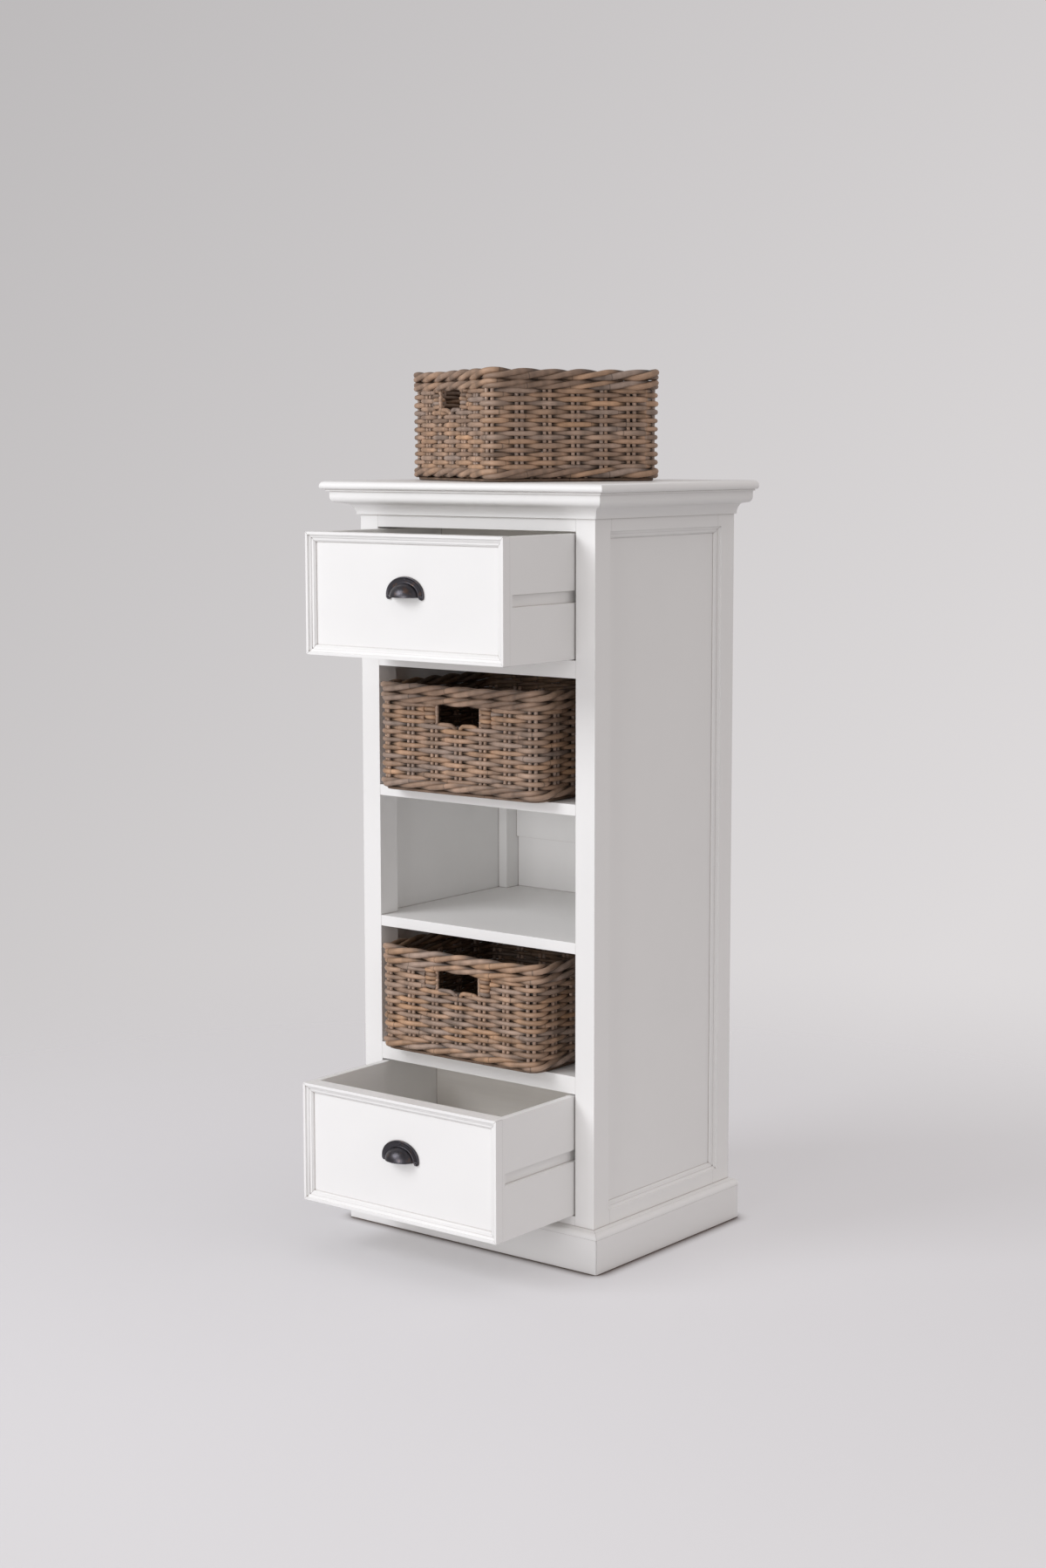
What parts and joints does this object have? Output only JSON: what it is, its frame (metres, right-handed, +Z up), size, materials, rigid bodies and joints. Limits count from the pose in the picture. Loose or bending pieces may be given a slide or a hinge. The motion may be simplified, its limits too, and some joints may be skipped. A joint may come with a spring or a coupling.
{
  "type": "basket storage cabinet",
  "caption": "Tall painted cabinet with inset drawers on wooden runners, cup pulls, open bays, a moulded crown and plinth, and woven baskets with hand holes.",
  "frame": {"origin": "on the floor, under the middle of the front plinth board's thickness and width", "axes": "+X to the right seen from the front, +Y to the back, +Z up; drawer fronts and hand holes of the bay baskets face -Y"},
  "size_m": [0.58, 0.5965, 1.4273],
  "materials": {
    "white_paint": "satin white paint on wood",
    "drawer_inside": "matt pale paint on wood",
    "beech": "bare beech",
    "steel": "zinc plated",
    "bronze": "oil-rubbed dark bronze with worn edges",
    "rattan": "grey-brown woven rattan",
    "rattan_border": "grey-brown rattan cane, rolled border"
  },
  "bodies": {
    "cabinet": {"plinth_front": "white_paint", "plinth_left": "white_paint", "plinth_right": "white_paint", "plinth_back": "white_paint", "base_moulding_front": "white_paint", "base_moulding_left": "white_paint", "base_moulding_right": "white_paint", "front_post_left": "white_paint", "front_post_right": "white_paint", "rear_post_left": "white_paint", "rear_post_right": "white_paint", "side_rails_left": "white_paint", "side_rails_right": "white_paint", "side_panel_left": "white_paint", "side_panel_right": "white_paint", "panel_moulding_left": "white_paint", "panel_moulding_right": "white_paint", "rail_bottom": "white_paint", "rail_lower": "white_paint", "rail_upper": "white_paint", "rail_top": "white_paint", "shelf_lower": "white_paint", "shelf_upper": "white_paint", "divider_lower": "white_paint", "divider_upper": "white_paint", "bottom_board": "white_paint", "back_rails": "white_paint", "back_panels": "white_paint", "crown_front": "white_paint", "crown_left": "white_paint", "crown_right": "white_paint", "top_board": "white_paint", "drawer_runners_lower": "white_paint", "drawer_runners_upper": "white_paint", "frame_dowels": "beech", "frame_screws": "steel"},
    "lower_drawer": {"lower_drawer_front_panel": "white_paint", "lower_drawer_moulding": "white_paint", "lower_drawer_inner_front": "white_paint", "lower_drawer_side_left": "white_paint", "lower_drawer_side_right": "white_paint", "lower_drawer_back": "drawer_inside", "lower_drawer_bottom": "drawer_inside", "lower_cup_pull": "bronze", "lower_pull_screws": "bronze"},
    "upper_drawer": {"upper_drawer_front_panel": "white_paint", "upper_drawer_moulding": "white_paint", "upper_drawer_inner_front": "white_paint", "upper_drawer_side_left": "white_paint", "upper_drawer_side_right": "white_paint", "upper_drawer_back": "drawer_inside", "upper_drawer_bottom": "drawer_inside", "upper_cup_pull": "bronze", "upper_pull_screws": "bronze"},
    "lower_basket": {"lower_basket_body": "rattan", "lower_basket_border": "rattan_border"},
    "upper_basket": {"upper_basket_body": "rattan", "upper_basket_border": "rattan_border"},
    "top_basket": {"top_basket_body": "rattan", "top_basket_border": "rattan_border"}
  },
  "joints": [
    {"name": "lower_drawer_slide", "type": "slide", "parent": "cabinet", "child": "lower_drawer", "axis": [0, -1, 0], "range_m": [-0.199, 0.069]},
    {"name": "upper_drawer_slide", "type": "slide", "parent": "cabinet", "child": "upper_drawer", "axis": [0, -1, 0], "range_m": [-0.178, 0.09]},
    {"name": "lower_basket_slide", "type": "slide", "parent": "cabinet", "child": "lower_basket", "axis": [0, -1, 0], "range_m": [-0.09, 0.26]},
    {"name": "upper_basket_slide", "type": "slide", "parent": "cabinet", "child": "upper_basket", "axis": [0, -1, 0], "range_m": [-0.09, 0.26]},
    {"name": "top_basket_lift", "type": "slide", "parent": "cabinet", "child": "top_basket", "axis": [0, 0, 1], "range_m": [0, 0.25]}
  ]
}
